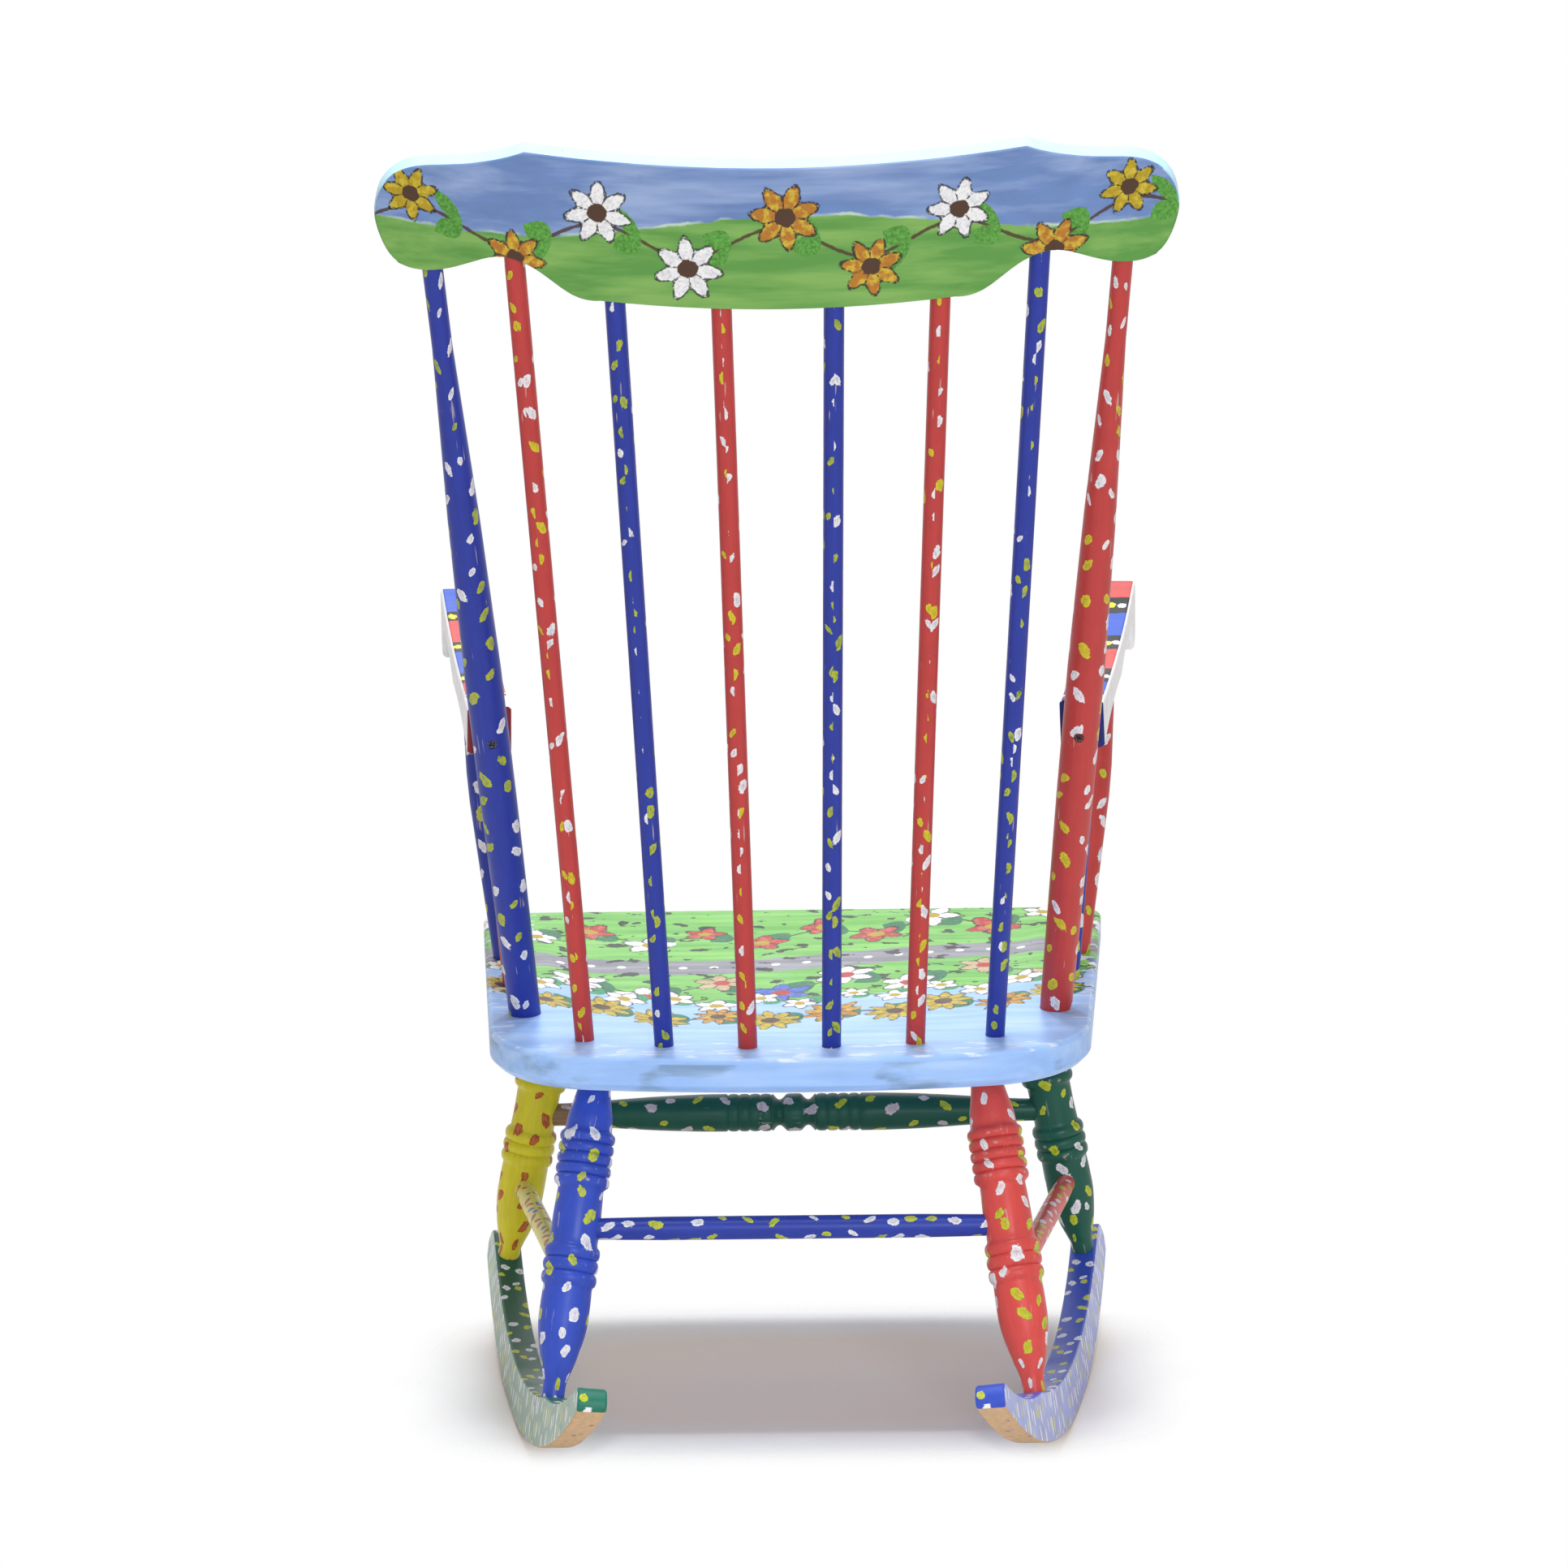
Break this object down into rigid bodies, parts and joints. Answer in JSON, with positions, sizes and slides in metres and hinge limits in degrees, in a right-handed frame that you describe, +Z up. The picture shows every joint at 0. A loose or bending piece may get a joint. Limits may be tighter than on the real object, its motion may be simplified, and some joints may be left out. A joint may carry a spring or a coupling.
{
  "type": "rocking chair",
  "caption": "Spindle-back wooden rocking chair with turned legs and stretchers, scrolled arms, a bent crest rail and painted folk decoration.",
  "frame": {"origin": "on the floor under the middle of the bounding box", "axes": "+Z up, -Y the way the sitter faces, +X to the sitter's left; the chair stands on its rockers' lowest lines at rest"},
  "size_m": [0.604, 0.701, 1.0794],
  "materials": {
    "blue_paint": "satin",
    "red_paint": "satin",
    "yellow_paint": "satin",
    "dark_green_paint": "satin",
    "pale_yellow_paint": "satin",
    "seat_paint": "satin",
    "crest_paint": "satin",
    "arm_paint": "gloss",
    "sage_green_paint": "satin",
    "lavender_paint": "satin",
    "screw_steel": "brushed"
  },
  "bodies": {
    "root": {"seat": "seat_paint", "crest_rail": "crest_paint", "left_back_post": "blue_paint", "right_back_post": "red_paint", "left_outer_spindle": "red_paint", "left_middle_spindle": "blue_paint", "left_inner_spindle": "red_paint", "right_inner_spindle": "blue_paint", "right_middle_spindle": "red_paint", "right_outer_spindle": "blue_paint", "left_arm": "arm_paint", "right_arm": "arm_paint", "left_arm_post": "blue_paint", "right_arm_post": "red_paint", "left_arm_spindle": "red_paint", "right_arm_spindle": "blue_paint", "left_front_leg": "yellow_paint", "left_rear_leg": "blue_paint", "right_rear_leg": "red_paint", "right_front_leg": "dark_green_paint", "front_stretcher": "dark_green_paint", "rear_stretcher": "blue_paint", "left_side_stretcher": "pale_yellow_paint", "right_side_stretcher": "red_paint", "left_rocker": "sage_green_paint", "right_rocker": "lavender_paint", "left_arm_screw": "screw_steel", "right_arm_screw": "screw_steel"}
  },
  "joints": []
}
